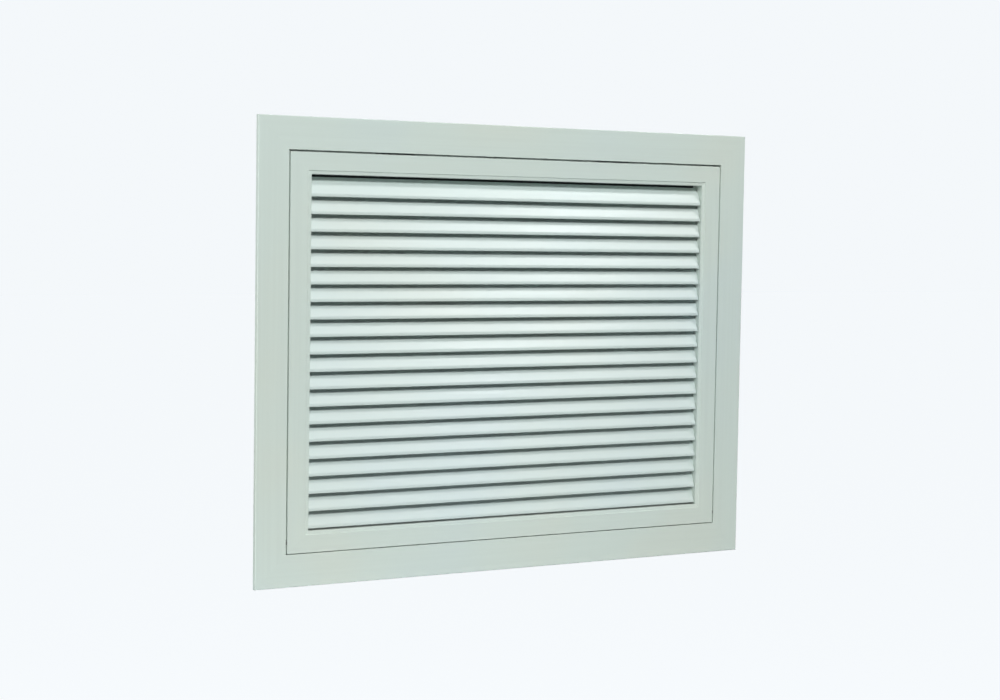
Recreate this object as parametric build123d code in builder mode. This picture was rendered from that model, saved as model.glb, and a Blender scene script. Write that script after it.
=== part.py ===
import os
from math import cos, radians, sin, tan

from build123d import *

# Hinged air louver: a fixed outer frame whose neck enters the wall, and a flush door of fixed blades.
# X runs to the right across the face, Y into the wall and Z up.
# The origin is the centre of the neck, on the surface of the wall.

# Outer frame
neck_width = 600.0
neck_height = 460.0
neck_depth = 44.0
flange_overlap = 36.0
rim_depth = 6.0
frame_wall = 1.4
rear_lip = 6.0
flange_edge_radius = 1.0
gap_edge_radius = 0.3

# Channel behind the flange and the flat corner keys in it
outer_key_inset = 9.0
outer_key_width = 18.0
outer_key_thickness = 2.4
outer_key_leg = 70.0
channel_wall = 1.2
channel_lip = 2.6
key_clearance = 0.1

# Screw holes in the sides of the neck
fixing_diameter = 5.0
fixing_spacing = 300.0
fixing_depth = 28.0

# Door frame
door_gap = 1.7
door_gap_top = 2.2
door_gap_bottom = 1.0
door_face = 24.6
door_face_sides = 26.6
door_depth = 20.0
door_wall = 1.4
door_return = 14.0
bead_width = 4.4
bead_step = 0.8
bead_drop = 1.2
bead_radius = 0.4

# Bent corner keys of the door
door_key_width = 8.0
door_key_thickness = 2.0
door_key_leg = 42.0
door_key_bend = 2.4
door_channel_lip = 1.2

# Blades
blade_count = 20
blade_wall = 1.3
blade_nose_wall = 1.8
blade_nose_height = 3.2
blade_nose_radius = 0.6
blade_bend_radius = 2.5
blade_run = 11.0
blade_angle = 60.0
blade_setback = 3.0
blade_end_clearance = 0.8
first_blade_drop = 25.1
last_blade_lift = 2.3
tenon_width = 9.0
tenon_proud = 1.0
tenon_clearance = 0.1

# Hinge
pin_diameter = 4.0
pin_head_diameter = 5.6
pin_head_height = 1.2
pin_tip = 0.6
pin_chamfer = 0.4
pin_behind_face = 4.6
pin_above_edge = 13.0
pin_clearance = 0.05
bush_diameter = 6.0
bush_length = 4.5
bush_flange_diameter = 7.0
bush_end_clearance = 0.3
bush_clearance = 0.05

# Magnetic catches and their strikes
catch_spacing = 300.0
catch_width = 30.0
catch_floor = 2.0
catch_length = 14.0
catch_ear = 9.0
catch_ear_height = 2.5
catch_ear_chamfer = 1.5
snap_leg_width = 2.4
snap_leg_depth = 6.0
snap_hook = 0.9
snap_tip = 1.6
snap_clearance = 0.1
magnet_width = 24.0
magnet_thickness = 5.0
magnet_length = 10.0
pole_thickness = 1.2
pole_proud = 0.6
pocket_clearance = 0.1
catch_air_gap = 0.3
strike_length = 44.0
strike_width = 9.0
strike_thickness = 1.2
strike_tab_width = 5.0
strike_tab_fold = 5.0
strike_tab_clearance = 0.1

# Sizes that follow from those above
frame_width = neck_width + 2 * flange_overlap
frame_height = neck_height + 2 * flange_overlap
frame_depth = rim_depth + neck_depth
flange_width = flange_overlap + frame_wall
face_y = -rim_depth
neck_inner_x = neck_width / 2 - frame_wall
neck_inner_z = neck_height / 2 - frame_wall
door_width = 2 * (neck_inner_x - door_gap)
door_top_z = neck_inner_z - door_gap_top
door_bottom_z = door_gap_bottom - neck_inner_z
door_height = door_top_z - door_bottom_z
door_z = (door_top_z + door_bottom_z) / 2
door_rear_y = face_y + door_depth
opening_width = door_width - 2 * door_face_sides
opening_height = door_height - 2 * door_face
opening_top_z = door_top_z - door_face
bead_start = door_face - bead_width
slot_back = door_depth - door_wall
slot_front = slot_back - door_key_width - 2 * key_clearance
hook_reach = door_wall + door_key_thickness + key_clearance + channel_wall

sides = ("top", "right", "bottom", "left")
corners = ((-1, 1), (1, 1), (1, -1), (-1, -1))
hands = {"left": -1, "right": 1}


def save(piece, label):
    piece.part.label = label
    export_step(piece.part, f"parts/{label}.step")


# Section plane of one side: local x runs inward, local y into the wall, the normal along the side
def side_plane(side, width, height, middle_z):
    top_z, bottom_z = middle_z + height / 2, middle_z - height / 2
    start_x, start_z, inward, along = {
        "top": (-width / 2, top_z, (0, 0, -1), (1, 0, 0)),
        "right": (width / 2, top_z, (-1, 0, 0), (0, 0, -1)),
        "bottom": (width / 2, bottom_z, (0, 0, 1), (-1, 0, 0)),
        "left": (-width / 2, bottom_z, (1, 0, 0), (0, 0, 1)),
    }[side]
    return Plane(origin=(start_x, face_y, start_z), x_dir=inward, z_dir=along)


def side_length(side, width, height):
    return width if side in ("top", "bottom") else height


# The two planes that trim a side from its outer to its inner corners, facing what stays of it
def mitres(section_plane, length, own_face, next_face):
    inward, depth, along = section_plane.x_dir, section_plane.y_dir, section_plane.z_dir
    near = section_plane.origin
    far = near + along * length
    ahead, aside = along * own_face, inward * next_face
    return Plane(near, depth, ahead - aside), Plane(far, depth, -ahead - aside)


# Plane parallel to the face, with local x and y running inward from one corner of a rectangle
def corner_plane(corner, width, height, y, middle_z):
    hand_x, hand_z = corner
    return Plane(
        origin=(hand_x * width / 2, y, middle_z + hand_z * height / 2),
        x_dir=(-hand_x, 0, 0),
        z_dir=(0, -hand_x * hand_z, 0),
    )


# Way along a corner plane's normal that leads into the wall
def into_wall(corner):
    return -corner[0] * corner[1]


# Plane that looks along +X, with local x into the wall and local y up
def across(x, y=0, z=0):
    return Plane(origin=(x, y, z), x_dir=(0, 1, 0), z_dir=(1, 0, 0))


# Section plane of a turned piece on the hinge axis: local x runs inward from x, local y is the radius
def turned_plane(hand, x):
    return Plane(origin=(hand * x, pin_y, pin_z), x_dir=(-hand, 0, 0), z_dir=(0, 0, 1))


# One straight wall of a section, from corner to corner
def wall(x0, y0, x1, y1, mode=Mode.ADD):
    with Locations((x0, y0)):
        Rectangle(x1 - x0, y1 - y0, align=(Align.MIN, Align.MIN), mode=mode)


os.makedirs("parts", exist_ok=True)

# Places of the blades, by the lower front edge of each nose
blade_y = face_y + blade_setback
blade_length = opening_width - 2 * blade_end_clearance
blade_rise = blade_run * tan(radians(blade_angle))
blade_pitch = (opening_height - first_blade_drop - last_blade_lift) / (blade_count - 1)
blade_places = [
    opening_top_z - first_blade_drop - number * blade_pitch for number in range(blade_count)
]
tenon_y = blade_run / 2 + blade_wall / 2 * sin(radians(blade_angle))
tenon_z = blade_nose_height + blade_rise / 2 - blade_wall / 2 * cos(radians(blade_angle))
tenon_reach = opening_width / 2 + door_wall + tenon_proud

# Places of the hinge, the catches and their strikes
pin_y = face_y + pin_behind_face
pin_z = door_bottom_z + pin_above_edge
hinge_axis = Axis((0, pin_y, pin_z), (1, 0, 0))
bush_flange_height = door_gap - bush_end_clearance
pole_face_y = door_rear_y + strike_thickness + catch_air_gap
catch_front_y = pole_face_y + pole_proud
catch_y = catch_front_y + catch_length / 2
snap_reach = (catch_width + catch_ear) / 2
strike_z = door_top_z - (hook_reach + door_return) / 2
stack_height = magnet_thickness + 2 * pole_thickness
catch_height = neck_inner_z - strike_z + stack_height / 2 + catch_floor
snap_places = [
    (hand * catch_spacing / 2 + way * snap_reach, catch_y)
    for hand in hands.values()
    for way in (-1, 1)
]
strike_tab_reach = (strike_length - strike_thickness) / 2
strike_tab_places = [
    (hand * catch_spacing / 2 + way * strike_tab_reach, strike_z)
    for hand in hands.values()
    for way in (-1, 1)
]

# Outer frame: flange with a rolled rim, neck, rear lip and key channel, in four mitred lengths
channel_start = outer_key_inset
channel_end = channel_start + outer_key_width + 2 * key_clearance
channel_floor = frame_wall + outer_key_thickness + key_clearance
channel_rear = channel_floor + channel_wall
mouth_start = channel_start + channel_lip
mouth_end = channel_end - channel_lip
for side in sides:
    plane = side_plane(side, frame_width, frame_height, 0)
    length = side_length(side, frame_width, frame_height)
    with BuildPart() as outer_side:
        with BuildSketch(plane) as section:
            wall(0, 0, flange_width, frame_wall)
            wall(0, 0, frame_wall, rim_depth)
            wall(flange_overlap, 0, flange_width, frame_depth)
            wall(flange_overlap, frame_depth - frame_wall, flange_width + rear_lip, frame_depth)
            wall(channel_start - channel_wall, 0, channel_end + channel_wall, channel_rear)
            wall(channel_start, frame_wall, channel_end, channel_floor, Mode.SUBTRACT)
            wall(mouth_start, frame_wall, mouth_end, channel_rear, Mode.SUBTRACT)
            outer_edge, gap_edge = section.vertices().group_by(Axis.Y)[0].sort_by(Axis.X)
            fillet(outer_edge, flange_edge_radius)
            fillet(gap_edge, gap_edge_radius)
        extrude(amount=length)
        for trim in mitres(plane, length, flange_width, flange_width):
            split(bisect_by=trim, keep=Keep.TOP)
        if side in hands:
            outward = hands[side]
            with BuildSketch(across(outward * neck_inner_x)):
                with Locations((pin_y, pin_z)):
                    Circle(pin_diameter / 2 + pin_clearance)
                with Locations((fixing_depth, fixing_spacing / 2), (fixing_depth, -fixing_spacing / 2)):
                    Circle(fixing_diameter / 2)
            extrude(amount=outward * frame_wall, mode=Mode.SUBTRACT)
        if side == "top":
            with BuildSketch(Plane.XY.offset(neck_inner_z)):
                with Locations(snap_places):
                    Rectangle(snap_leg_width + 2 * snap_clearance, snap_leg_depth + 2 * snap_clearance)
            extrude(amount=frame_wall, mode=Mode.SUBTRACT)
    save(outer_side, f"outer_frame_{side}")

# Flat corner keys, crimped back against the lips of the channel
outer_key_corner = outer_key_inset + key_clearance
outer_key_y = face_y + frame_wall + key_clearance
outer_key_run = outer_key_corner + outer_key_leg
for number, corner in enumerate(corners, start=1):
    with BuildPart() as outer_key:
        with BuildSketch(corner_plane(corner, frame_width, frame_height, outer_key_y, 0)):
            wall(outer_key_corner, outer_key_corner, outer_key_run, outer_key_corner + outer_key_width)
            wall(outer_key_corner, outer_key_corner, outer_key_corner + outer_key_width, outer_key_run)
        extrude(amount=into_wall(corner) * outer_key_thickness)
    save(outer_key, f"outer_key_{number}")

# Door frame: face with a stepped bead, two legs, rear return and key channel, in four mitred lengths.
# The sides are wider than the top and bottom, and their sections spread in step, so the corners meet.
for side in sides:
    plane = side_plane(side, door_width, door_height, door_z)
    length = side_length(side, door_width, door_height)
    own_face, next_face = door_face, door_face_sides
    if side in hands:
        own_face, next_face = door_face_sides, door_face
    spread = own_face / door_face
    bead_at = bead_start * spread
    hook_at = hook_reach * spread
    with BuildPart() as door_side:
        with BuildSketch(plane) as section:
            wall(0, 0, bead_at, door_wall)
            wall(0, 0, door_wall, door_depth)
            wall(0, slot_back, door_return * spread, door_depth)
            wall(own_face - door_wall, bead_drop, own_face, door_depth)
            wall(door_wall, slot_front - channel_wall, hook_at, slot_front)
            wall(hook_at - channel_wall, slot_front, hook_at, slot_front + door_channel_lip)
            wall(hook_at - channel_wall, slot_back - door_channel_lip, hook_at, slot_back)
            with BuildLine():
                Polyline(
                    (bead_at, 0),
                    (bead_at + bead_step, bead_step),
                    (own_face, bead_drop),
                    (own_face, bead_drop + door_wall),
                    (own_face - door_wall, bead_drop + door_wall),
                    (bead_at + bead_step, bead_step + door_wall),
                    (bead_at, door_wall),
                    close=True,
                )
            make_face()
            gap_edge = section.vertices().group_by(Axis.Y)[0].sort_by(Axis.X)[0]
            fillet(gap_edge, gap_edge_radius)
            bead_edge = section.vertices().group_by(Axis.X)[-1].sort_by(Axis.Y)[0]
            fillet(bead_edge, bead_radius)
        extrude(amount=length)
        for trim in mitres(plane, length, own_face, next_face):
            split(bisect_by=trim, keep=Keep.TOP)
        if side in hands:
            outward = hands[side]
            with BuildSketch(across(outward * opening_width / 2)):
                with Locations([(blade_y + tenon_y, place + tenon_z) for place in blade_places]):
                    Rectangle(
                        tenon_width + 2 * tenon_clearance,
                        blade_wall + 2 * tenon_clearance,
                        rotation=blade_angle,
                    )
            extrude(amount=outward * door_wall, mode=Mode.SUBTRACT)
            with BuildSketch(across(outward * door_width / 2, pin_y, pin_z)):
                Circle(bush_diameter / 2 + bush_clearance)
            extrude(amount=-outward * door_wall, mode=Mode.SUBTRACT)
        if side == "top":
            with BuildSketch(Plane.XZ.offset(-door_rear_y)):
                with Locations(strike_tab_places):
                    Rectangle(
                        strike_thickness + 2 * strike_tab_clearance,
                        strike_tab_width + 2 * strike_tab_clearance,
                    )
            extrude(amount=door_wall, mode=Mode.SUBTRACT)
    save(door_side, f"door_frame_{side}")

# Bent corner keys, crimped in against the lips of the door's channel
door_key_corner = door_wall + key_clearance
door_key_inner = door_key_corner + door_key_thickness
door_key_run = door_key_corner + door_key_leg
door_key_y = face_y + slot_front + key_clearance
for number, corner in enumerate(corners, start=1):
    with BuildPart() as door_key:
        with BuildSketch(corner_plane(corner, door_width, door_height, door_key_y, door_z)) as section:
            wall(door_key_corner, door_key_corner, door_key_run, door_key_inner)
            wall(door_key_corner, door_key_corner, door_key_inner, door_key_run)
            bend = section.vertices().sort_by_distance((0, 0))[0]
            fillet(bend, door_key_bend)
        extrude(amount=into_wall(corner) * door_key_width)
    save(door_key, f"door_key_{number}")

# Blades: an upright rounded nose and a sloping web, with a tenon at each end of the web
for number, place in enumerate(blade_places, start=1):
    with BuildPart() as blade:
        with BuildSketch(across(-blade_length / 2, blade_y, place)) as section:
            wall(0, 0, blade_nose_wall, blade_nose_height)
            with BuildLine():
                Polyline(
                    (0, blade_nose_height),
                    (blade_run, blade_nose_height + blade_rise),
                    (
                        blade_run + blade_wall * sin(radians(blade_angle)),
                        blade_nose_height + blade_rise - blade_wall * cos(radians(blade_angle)),
                    ),
                    (
                        blade_wall * sin(radians(blade_angle)),
                        blade_nose_height - blade_wall * cos(radians(blade_angle)),
                    ),
                    close=True,
                )
            make_face()
            fillet(section.vertices().group_by(Axis.Y)[0], blade_nose_radius)
            fillet(section.vertices().group_by(Axis.X)[0].sort_by(Axis.Y)[-1], blade_bend_radius)
        extrude(amount=blade_length)
        with BuildSketch(across(-tenon_reach, blade_y, place)):
            with Locations((tenon_y, tenon_z)):
                Rectangle(tenon_width, blade_wall, rotation=blade_angle)
        extrude(amount=2 * tenon_reach)
    save(blade, f"blade_{number:02d}")

# Hinge: headed pins in the neck, running in flanged bushes in the door
pin_length = frame_wall + door_gap + bush_length + pin_tip
bore_radius = pin_diameter / 2 + pin_clearance
for side, hand in hands.items():
    with BuildPart() as hinge_pin:
        with BuildSketch(turned_plane(hand, neck_width / 2)) as section:
            wall(0, 0, pin_length, pin_diameter / 2)
            chamfer(section.vertices().group_by(Axis.X)[-1].sort_by(Axis.Y)[-1], pin_chamfer)
            wall(-pin_head_height, 0, 0, pin_head_diameter / 2)
        revolve(axis=hinge_axis)
    save(hinge_pin, f"hinge_pin_{side}")

    with BuildPart() as hinge_bush:
        with BuildSketch(turned_plane(hand, door_width / 2)):
            wall(0, bore_radius, bush_length, bush_diameter / 2)
            wall(-bush_flange_height, bore_radius, 0, bush_flange_diameter / 2)
        revolve(axis=hinge_axis)
    save(hinge_bush, f"hinge_bush_{side}")

# Magnetic catches snapped into the top of the neck, and their strikes on the back of the door
snap_root_z = neck_inner_z - catch_ear_height
snap_hook_z = neck_height / 2 + snap_clearance
for side, hand in hands.items():
    catch_x = hand * catch_spacing / 2
    with BuildPart() as catch_housing:
        with BuildSketch(Plane.XY.offset(neck_inner_z)):
            with Locations((catch_x, catch_y)):
                Rectangle(catch_width + 2 * catch_ear, catch_length)
        extrude(amount=-catch_ear_height)
        with BuildSketch(Plane.XY.offset(neck_inner_z)):
            with Locations((catch_x, catch_y)):
                Rectangle(catch_width, catch_length)
        extrude(amount=-catch_height)
        ear_corners = catch_housing.edges().filter_by(Axis.Z).group_by(Axis.X)
        chamfer(ear_corners[0] + ear_corners[-1], catch_ear_chamfer)
        with BuildSketch(Plane.XZ.offset(-catch_front_y)):
            with Locations((catch_x, strike_z)):
                Rectangle(magnet_width + 2 * pocket_clearance, stack_height + 2 * pocket_clearance)
        extrude(amount=-magnet_length, mode=Mode.SUBTRACT)
        for way in (-1, 1):
            leg_inner = catch_x + way * (snap_reach - snap_leg_width / 2)
            leg_outer = catch_x + way * (snap_reach + snap_leg_width / 2)
            with BuildSketch(Plane.XZ.offset(snap_leg_depth / 2 - catch_y)):
                with BuildLine():
                    Polyline(
                        (leg_inner, snap_root_z),
                        (leg_outer, snap_root_z),
                        (leg_outer, snap_hook_z),
                        (leg_outer + way * snap_hook, snap_hook_z),
                        (leg_outer, snap_hook_z + snap_tip),
                        (leg_inner, snap_hook_z + snap_tip),
                        close=True,
                    )
                make_face()
            extrude(amount=-snap_leg_depth)
    save(catch_housing, f"catch_housing_{side}")

    with BuildPart() as catch_magnet:
        with BuildSketch(Plane.XZ.offset(-catch_front_y)):
            with Locations((catch_x, strike_z)):
                Rectangle(magnet_width, magnet_thickness)
        extrude(amount=-magnet_length)
    save(catch_magnet, f"catch_magnet_{side}")

    pole_reach = (magnet_thickness + pole_thickness) / 2
    with BuildPart() as catch_poles:
        with BuildSketch(Plane.XZ.offset(-pole_face_y)):
            with Locations((catch_x, strike_z - pole_reach), (catch_x, strike_z + pole_reach)):
                Rectangle(magnet_width, pole_thickness)
        extrude(amount=-pole_proud - magnet_length)
    save(catch_poles, f"catch_poles_{side}")

    with BuildPart() as strike_plate:
        with BuildSketch(Plane.XZ.offset(-door_rear_y)):
            with Locations((catch_x, strike_z)):
                Rectangle(strike_length, strike_width)
        extrude(amount=-strike_thickness)
        for way in (-1, 1):
            tab_x = catch_x + way * strike_tab_reach
            with BuildSketch(Plane.XZ.offset(-door_rear_y)):
                with Locations((tab_x, strike_z)):
                    Rectangle(strike_thickness, strike_tab_width)
            extrude(amount=door_wall + strike_thickness)
            with BuildSketch(Plane.XZ.offset(door_wall - door_rear_y)):
                with Locations((tab_x + way * strike_tab_fold / 2, strike_z)):
                    Rectangle(strike_tab_fold, strike_tab_width)
            extrude(amount=strike_thickness)
    save(strike_plate, f"strike_plate_{side}")
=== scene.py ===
from math import radians

import bpy
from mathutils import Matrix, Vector

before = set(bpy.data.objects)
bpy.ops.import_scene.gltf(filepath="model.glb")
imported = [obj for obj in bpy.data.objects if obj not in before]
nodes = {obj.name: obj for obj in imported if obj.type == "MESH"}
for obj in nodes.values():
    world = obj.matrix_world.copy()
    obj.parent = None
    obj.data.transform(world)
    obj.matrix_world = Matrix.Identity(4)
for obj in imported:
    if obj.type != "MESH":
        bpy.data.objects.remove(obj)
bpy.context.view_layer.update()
scene = bpy.context.scene


class Wire:                                    # one socket, so that shader maths reads as plain sums
    def __init__(self, board, socket):
        self.board = board
        self.socket = socket

    def join(self, operation, first, second):
        sockets = {0: first, 1: second}
        return self.board.add("ShaderNodeMath", {"operation": operation}, sockets).out()

    def __add__(self, other):
        return self.join("ADD", self, other)

    def __radd__(self, other):
        return self.join("ADD", other, self)

    def __sub__(self, other):
        return self.join("SUBTRACT", self, other)

    def __rsub__(self, other):
        return self.join("SUBTRACT", other, self)

    def __mul__(self, other):
        return self.join("MULTIPLY", self, other)

    def __rmul__(self, other):
        return self.join("MULTIPLY", other, self)

    def __gt__(self, other):
        return self.join("GREATER_THAN", self, other)

    def __lt__(self, other):
        return self.join("LESS_THAN", self, other)


class Made:                                    # a node on the board, and its outlets
    def __init__(self, board, node):
        self.board = board
        self.node = node

    def out(self, name=0):
        return Wire(self.board, self.node.outputs[name])


class Board:                                   # the node tree of a material or of the world
    def __init__(self, owner):
        owner.use_nodes = True
        self.tree = owner.node_tree
        self.tree.nodes.clear()

    def add(self, kind, settings=None, sockets=None):
        node = self.tree.nodes.new(kind)
        for name, value in (settings or {}).items():
            setattr(node, name, value)
        for name, value in (sockets or {}).items():
            if isinstance(value, Wire):
                self.tree.links.new(value.socket, node.inputs[name])
            else:
                node.inputs[name].default_value = value
        return Made(self, node)

    def blendColour(self, share, first, second, way="MIX"):
        sockets = {0: share, 6: first, 7: second}
        return self.add("ShaderNodeMix", {"data_type": "RGBA", "blend_type": way}, sockets).out(2)

    def shadeColour(self, colour, shades):     # colour times three shades, for red, green and blue
        tone = self.add("ShaderNodeCombineColor", None, dict(enumerate(shades))).out()
        return self.blendColour(1.0, colour, tone, "MULTIPLY")

    def spread(self, value, low, high, newLow, newHigh):
        sockets = {0: value, 1: low, 2: high, 3: newLow, 4: newHigh}
        return self.add("ShaderNodeMapRange", {"interpolation_type": "SMOOTHSTEP"}, sockets).out()

    def grain(self, scale, stretch=(1, 1, 1), detail=2.0, rough=0.5):
        place = self.add("ShaderNodeTexCoord").out("Object")
        place = self.add("ShaderNodeMapping", None, {"Vector": place, "Scale": stretch}).out()
        sockets = {"Vector": place, "Scale": scale, "Detail": detail, "Roughness": rough}
        return self.add("ShaderNodeTexNoise", None, sockets).out("Fac")

    def bump(self, strength, distance, height):
        sockets = {"Strength": strength, "Distance": distance, "Height": height}
        return self.add("ShaderNodeBump", None, sockets).out()


def newFinish(name):
    material = bpy.data.materials.new(name)
    return material, Board(material)


def closeFinish(board, sockets):
    shader = board.add("ShaderNodeBsdfPrincipled", None, sockets)
    board.add("ShaderNodeOutputMaterial", None, {"Surface": shader.out()})


# powder coat of the frames and blades, pale grey with a little green in it
coat = {
    "colour": (0.606, 0.702, 0.648, 1),
    "cooler": (0.594, 0.696, 0.664, 1),
    "warmer": (0.620, 0.696, 0.626, 1),
    "frameTint": (1.0, 1.0, 1.0),
    "bladePaintedLightTint": (0.99, 1.0, 1.04),            # painted light: the blades' copy of the coat is tinted bluer, standing in for the cooler light on their upturned faces
    "patchScale": 5.0,                         # patches of about 20 cm
    "coolFrom": (0.50, 0.68), "warmFrom": (0.32, 0.50), "patchShare": 0.8,
    "drawScale": 260.0,                        # faint draw lines under the coat
    "drawStretch": 0.012,
    "speckScale": 2400.0,
    "peelScale": 620.0,                        # orange peel of about 1.6 mm
    "grainFrom": (0.35, 0.65),
    "shade": (0.985, 1.015),
    "gloss": (0.30, 0.42),
    "specular": 0.5,
    "bumpStrength": 0.10, "bumpDepth": 0.0003,
}


def coatFinish(name, alongX, tint):
    material, board = newFinish(name)
    stretch = (coat["drawStretch"], 1, 1) if alongX else (1, 1, coat["drawStretch"])
    patch = board.grain(coat["patchScale"], detail=1.5)
    lines = board.grain(coat["drawScale"], stretch, detail=3.0)
    peel = board.grain(coat["peelScale"], detail=2.5, rough=0.55)
    speck = board.grain(coat["speckScale"], detail=1.0)
    cool = board.spread(patch, *coat["coolFrom"], 0.0, coat["patchShare"])
    warm = board.spread(patch, *coat["warmFrom"], coat["patchShare"], 0.0)
    colour = board.blendColour(cool, coat["colour"], coat["cooler"])
    colour = board.blendColour(warm, colour, coat["warmer"])
    shade = board.spread(lines * 0.6 + speck * 0.4, *coat["grainFrom"], *coat["shade"])
    # the tint multiplies the coat colour; for the blades it is painted cool light on the same paint
    colour = board.shadeColour(colour, [shade * part for part in tint])
    gloss = board.spread(peel * 0.5 + lines * 0.5, *coat["grainFrom"], *coat["gloss"])
    relief = peel * 0.8 + lines * 0.2
    closeFinish(board, {
        "Base Color": colour, "Roughness": gloss, "Specular IOR Level": coat["specular"],
        "Normal": board.bump(coat["bumpStrength"], coat["bumpDepth"], relief),
    })
    return material


# bare metals of the keys, pins, strikes and pole plates
metals = {
    "zincSteel": {
        "colour": (0.62, 0.64, 0.66, 1), "tint": (0.66, 0.62, 0.52, 1), "gloss": (0.27, 0.46),
        "scale": 340.0, "stretch": (0.25, 1, 0.25),
    },
    "plainAluminium": {
        "colour": (0.76, 0.77, 0.78, 1), "tint": (0.68, 0.69, 0.71, 1), "gloss": (0.31, 0.50),
        "scale": 420.0, "stretch": (1, 0.03, 1),
    },
    "turnedSteel": {
        "colour": (0.66, 0.66, 0.67, 1), "tint": (0.56, 0.56, 0.58, 1), "gloss": (0.19, 0.38),
        "scale": 2600.0, "stretch": (1, 0.04, 0.04),
    },
}
metalWear = {
    "cloudScale": 45.0, "cloudFrom": (0.40, 0.70), "cloudShare": 0.6,
    "strokeFrom": (0.3, 0.7), "shade": (0.90, 1.04),
    "bumpStrength": 0.15, "bumpDepth": 0.0001,
}


def metalFinish(name):
    metal = metals[name]
    material, board = newFinish(name)
    strokes = board.grain(metal["scale"], metal["stretch"], detail=4.0, rough=0.6)
    cloud = board.grain(metalWear["cloudScale"], detail=2.0)
    tinted = board.spread(cloud, *metalWear["cloudFrom"], 0.0, metalWear["cloudShare"])
    colour = board.blendColour(tinted, metal["colour"], metal["tint"])
    worn = board.spread(strokes, *metalWear["strokeFrom"], *metalWear["shade"])
    closeFinish(board, {
        "Base Color": board.shadeColour(colour, [worn] * 3), "Metallic": 1.0,
        "Roughness": board.spread(strokes, *metalWear["strokeFrom"], *metal["gloss"]),
        "Normal": board.bump(metalWear["bumpStrength"], metalWear["bumpDepth"], strokes),
    })
    return material


# moulded plastics and the sintered magnet
mouldings = {
    "nylon": {
        "colour": (0.036, 0.036, 0.038, 1), "fleck": (0.050, 0.050, 0.052, 1), "gloss": (0.40, 0.54),
        "scale": 900.0, "bumpStrength": 0.06,
    },
    "whitePlastic": {
        "colour": (0.80, 0.80, 0.78, 1), "fleck": (0.74, 0.74, 0.72, 1), "gloss": (0.36, 0.50),
        "scale": 1400.0, "bumpStrength": 0.12,
    },
    "ferrite": {
        "colour": (0.055, 0.055, 0.06, 1), "fleck": (0.12, 0.12, 0.125, 1), "gloss": (0.56, 0.70),
        "scale": 1800.0, "bumpStrength": 0.25,
    },
}
mouldedSkin = {"flowScale": 70.0, "fleckFrom": (0.42, 0.66), "poreFrom": (0.3, 0.7), "bumpDepth": 0.0002}


def mouldedFinish(name):
    moulded = mouldings[name]
    material, board = newFinish(name)
    pores = board.grain(moulded["scale"], detail=3.0, rough=0.6)
    flow = board.grain(mouldedSkin["flowScale"], detail=2.0)
    flecked = board.spread(pores * 0.6 + flow * 0.4, *mouldedSkin["fleckFrom"], 0.0, 1.0)
    closeFinish(board, {
        "Base Color": board.blendColour(flecked, moulded["colour"], moulded["fleck"]),
        "Roughness": board.spread(pores, *mouldedSkin["poreFrom"], *moulded["gloss"]),
        "Normal": board.bump(moulded["bumpStrength"], mouldedSkin["bumpDepth"], pores),
    })
    return material


finishes = {
    "coatLevel": coatFinish("coatLevel", True, coat["frameTint"]),
    "coatUpright": coatFinish("coatUpright", False, coat["frameTint"]),
    # the blades take a bluer copy of the coat as painted light
    "coatBladePaintedLight": coatFinish("coatBladePaintedLight", True, coat["bladePaintedLightTint"]),
}
for name in metals:
    finishes[name] = metalFinish(name)
for name in mouldings:
    finishes[name] = mouldedFinish(name)
print("finishes made:", ", ".join(finishes))

# which finish each kind of piece takes, by the start of its name
finishOf = {
    "outer_frame": "coatLevel", "outer_frame_left": "coatUpright", "outer_frame_right": "coatUpright",
    "door_frame": "coatLevel", "door_frame_left": "coatUpright", "door_frame_right": "coatUpright",
    "blade": "coatBladePaintedLight",
    "outer_key": "zincSteel", "door_key": "plainAluminium", "strike_plate": "zincSteel",
    "catch_poles": "zincSteel", "catch_housing": "whitePlastic", "catch_magnet": "ferrite",
    "hinge_pin": "turnedSteel", "hinge_bush": "nylon",
}
for name, piece in nodes.items():
    start = max((s for s in finishOf if name.startswith(s)), key=len)
    for slot in piece.material_slots:
        slot.material = finishes[finishOf[start]]
print("finishes given to", len(nodes), "pieces")


def deselect():
    bpy.ops.object.select_all(action="DESELECT")


paper = (0.905, 0.937, 0.962, 1)               # pale backdrop, shared by the floor and the world

# pale floor well below the louver, which hangs in the air as it would on a wall
floorSet = {
    "drop": 3.0, "size": 160.0,
    "tooth": (0.88, 0.90, 0.92, 1), "toothScale": 14.0, "toothFrom": (0.3, 0.7), "toothShare": 0.25,
    "lift": 0.905,                             # what the camera sees besides the lamps' own light
}


def makeFloor():
    deselect()
    bpy.ops.mesh.primitive_plane_add(size=floorSet["size"], location=(0, 0, -floorSet["drop"]))
    floor = bpy.context.object
    floor.name = "paleFloor"
    bpy.ops.object.transform_apply(location=True, rotation=True, scale=True)
    material, board = newFinish("floorPaper")
    tooth = board.grain(floorSet["toothScale"], detail=3.0)
    tooth = board.spread(tooth, *floorSet["toothFrom"], 0.0, floorSet["toothShare"])
    colour = board.blendColour(tooth, paper, floorSet["tooth"])
    matt = board.add("ShaderNodeBsdfDiffuse", None, {"Color": colour})
    path = board.add("ShaderNodeLightPath")
    seen = board.add("ShaderNodeEmission", None, {
        "Color": paper, "Strength": path.out("Is Camera Ray") * floorSet["lift"],
    })
    both = board.add("ShaderNodeAddShader", None, {0: matt.out(), 1: seen.out()})
    board.add("ShaderNodeOutputMaterial", None, {"Surface": both.out()})
    floor.data.materials.append(material)


# painted shade of the duct: a near-black card in the opening of the neck's rear lip, standing in for the
# shade inside the duct, seen and mirrored only from the front, which also keeps light that has bounced
# from coming back through the blades
ductPaintedShade = {
    "y": 0.0434, "width": 0.5848, "height": 0.4448,
    # near-black colour of the card: painted shade of the duct's inside
    "colour": (0.006, 0.008, 0.008, 1),
    "bounceLimit": 1.5,
}


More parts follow.
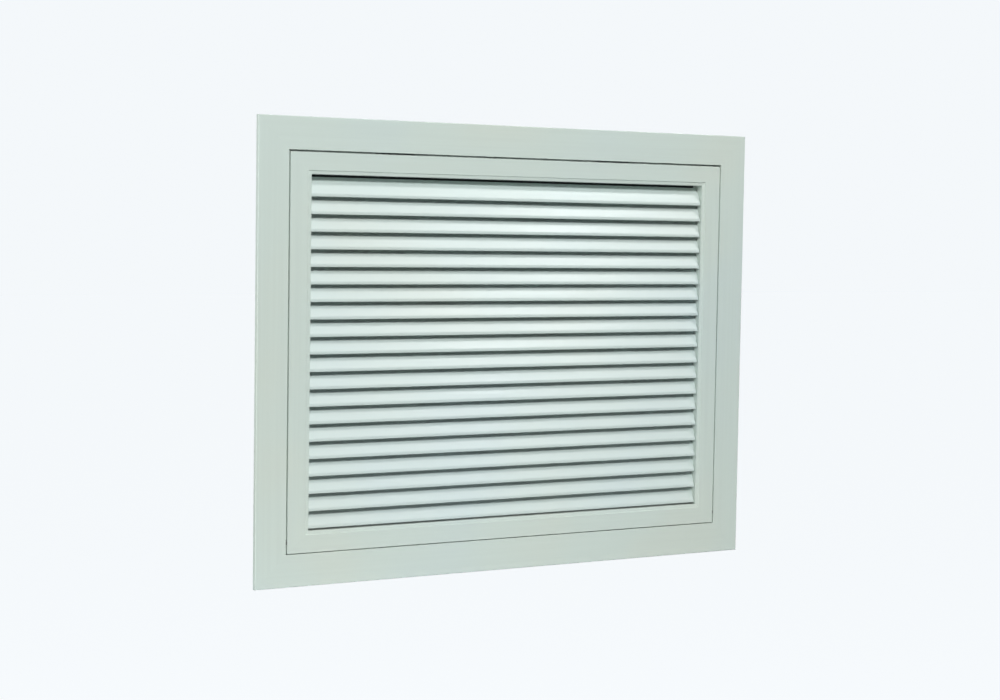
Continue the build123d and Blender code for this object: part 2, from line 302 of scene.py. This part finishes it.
def makeDuctPaintedShade():
    deselect()
    bpy.ops.mesh.primitive_plane_add(
        size=1, location=(0, ductPaintedShade["y"], 0), rotation=(radians(90), 0, 0))
    card = bpy.context.object
    card.name = "ductPaintedShade"
    card.scale = (ductPaintedShade["width"], ductPaintedShade["height"], 1)
    bpy.ops.object.transform_apply(location=True, rotation=True, scale=True)
    material, board = newFinish("ductPaintedShade")
    path = board.add("ShaderNodeLightPath")
    side = board.add("ShaderNodeNewGeometry")
    # near-black emission: painted shade of the duct's inside
    dark = board.add("ShaderNodeEmission", None, {"Color": ductPaintedShade["colour"], "Strength": 1.0})
    clear = board.add("ShaderNodeBsdfTransparent")
    seen = path.out("Is Camera Ray") + path.out("Is Glossy Ray")
    bounced = path.out("Diffuse Depth") + path.out("Is Shadow Ray") > ductPaintedShade["bounceLimit"]
    stopped = (seen + bounced) * (1 - side.out("Backfacing"))
    both = board.add("ShaderNodeMixShader", None, {0: stopped, 1: clear.out(), 2: dark.out()})
    board.add("ShaderNodeOutputMaterial", None, {"Surface": both.out()})
    card.data.materials.append(material)


makeFloor()
makeDuctPaintedShade()
print("stage set")

# faint light of the room, less from the front than from behind; the backdrop itself is seen as paper
room = {"front": 0.025, "back": 0.14, "frontToBack": (-0.75, 0.35)}


def makeWorld():
    world = bpy.data.worlds.new("room")
    scene.world = world
    board = Board(world)
    way = board.add("ShaderNodeTexCoord").out("Generated")
    axes = board.add("ShaderNodeSeparateXYZ", None, {0: way})
    level = board.spread(axes.out("Y"), *room["frontToBack"], room["front"], room["back"])
    glow = board.add("ShaderNodeBackground", None, {"Color": (1, 1, 1, 1), "Strength": level})
    seen = board.add("ShaderNodeBackground", None, {"Color": paper, "Strength": 1.0})
    path = board.add("ShaderNodeLightPath")
    share = path.out("Is Camera Ray") + path.out("Is Glossy Ray") + path.out("Is Transmission Ray")
    both = board.add("ShaderNodeMixShader", None, {0: share, 1: glow.out(), 2: seen.out()})
    board.add("ShaderNodeOutputWorld", None, {"Surface": both.out()})


# soft boxes: the main one from the front left and above, the others for the edges and the rear
softBoxes = {
    "frontBox": {"place": (-1.5, -3.1, 2.3), "size": (0.8, 0.7), "power": 119.0, "aim": (0, 0, 0)},
    "topBox": {"place": (-0.2, -1.3, 2.2), "size": (1.6, 0.8), "power": 6.0, "aim": (0, 0, 0)},
    "sheenBox": {"place": (1.46, -1.27, 2.12), "size": (0.32, 0.28), "power": 19.0, "aim": (0, 0, 0)},
    "lowBox": {"place": (-0.12, -0.40, -0.64), "size": (1.1, 0.2), "power": 1.7, "aim": (0, 0, 0)},
    "edgeBox": {"place": (-1.6, 0.02, 0.0), "size": (0.05, 1.2), "power": 9.0, "aim": (0, 0.02, 0)},
    "rearBox": {"place": (0.9, 2.4, 0.0), "size": (3.0, 2.2), "power": 34.0, "aim": (0, 0, 0)},
}


def makeSoftBox(name):
    box = softBoxes[name]
    deselect()
    bpy.ops.object.light_add(type="AREA", location=box["place"])
    lamp = bpy.context.object
    lamp.name = name
    lamp.data.shape = "RECTANGLE"
    lamp.data.size, lamp.data.size_y = box["size"]
    lamp.data.energy = box["power"]
    lamp.visible_camera = False
    sight = Vector(box["aim"]) - lamp.location
    lamp.rotation_euler = sight.to_track_quat("-Z", "Y").to_euler()


makeWorld()
for name in softBoxes:
    makeSoftBox(name)
print("lights set")

# camera at the photograph's angle, where its edges meet the model's
view = {
    "place": (-1.20866, -2.03217, 0.14391), "turn": (86.4706, -0.9123, -30.2957),
    "lens": 70.92, "sensor": 36.0, "reach": 400.0,
}


def makeCamera():
    deselect()
    bpy.ops.object.camera_add(location=view["place"], rotation=[radians(a) for a in view["turn"]])
    camera = bpy.context.object
    camera.name = "photoCamera"
    camera.data.lens = view["lens"]
    camera.data.sensor_fit = "HORIZONTAL"
    camera.data.sensor_width = view["sensor"]
    camera.data.clip_end = view["reach"]
    scene.camera = camera


makeCamera()
scene.view_settings.view_transform = "Standard"
print("camera set")
